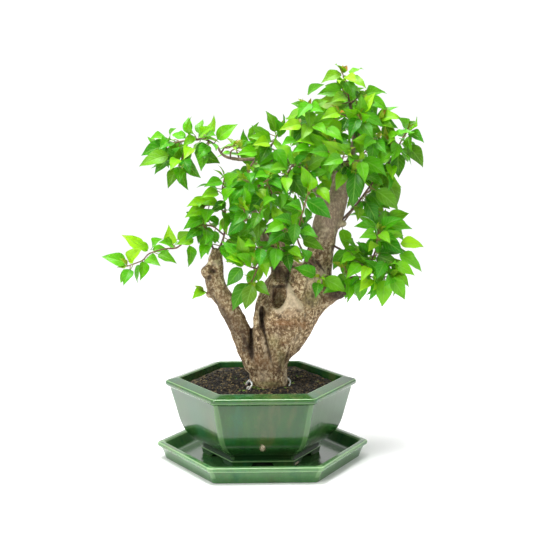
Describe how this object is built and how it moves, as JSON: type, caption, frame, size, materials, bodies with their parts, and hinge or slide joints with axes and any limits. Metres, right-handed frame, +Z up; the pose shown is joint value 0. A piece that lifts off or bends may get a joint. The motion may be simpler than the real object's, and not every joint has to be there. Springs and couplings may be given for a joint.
{
  "type": "bougainvillea bonsai in a pot",
  "caption": "Leafy bougainvillea bonsai with a thick slanting trunk, a left branch and a right stump, in a glazed hexagonal pot standing on its hexagonal saucer.",
  "frame": {"origin": "on the surface that the saucer stands on, under the middle of the pot", "axes": "+Z up; the front, as pictured, faces -Y; +X to the viewer's right, across two corners of the pot"},
  "size_m": [0.3298, 0.1966, 0.4071],
  "materials": {
    "saucer_glaze": "gloss green glaze",
    "pot_glaze": "gloss green glaze, thinner and paler on the edges",
    "potting_soil": "damp crumbly soil",
    "bark": "matt, wrinkled bark",
    "plastic_tie": "matt white",
    "foliage": "satin fresh leaf"
  },
  "bodies": {
    "root": {"saucer": "saucer_glaze", "pot": "pot_glaze", "soil": "potting_soil", "trunk": "bark", "anchor_tie": "plastic_tie", "spray_back_centre": "foliage", "spray_back_left": "foliage", "spray_back_low_left": "foliage", "spray_back_middle": "foliage", "spray_back_right": "foliage", "spray_back_right_low": "foliage", "spray_back_top": "foliage", "spray_centre_high": "foliage", "spray_centre_left": "foliage", "spray_centre_low": "foliage", "spray_crown_front": "foliage", "spray_crown_front_left": "foliage", "spray_crown_left": "foliage", "spray_crown_middle": "foliage", "spray_crown_right": "foliage", "spray_crown_top": "foliage", "spray_far_left": "foliage", "spray_front_centre": "foliage", "spray_left_low": "foliage", "spray_left_middle": "foliage", "spray_left_sprig": "foliage", "spray_left_top": "foliage", "spray_low_left": "foliage", "spray_right_low": "foliage", "spray_right_middle": "foliage", "spray_right_twig": "foliage", "spray_shelf_front": "foliage", "spray_shelf_left": "foliage", "spray_trunk_shoot": "foliage"}
  },
  "joints": []
}
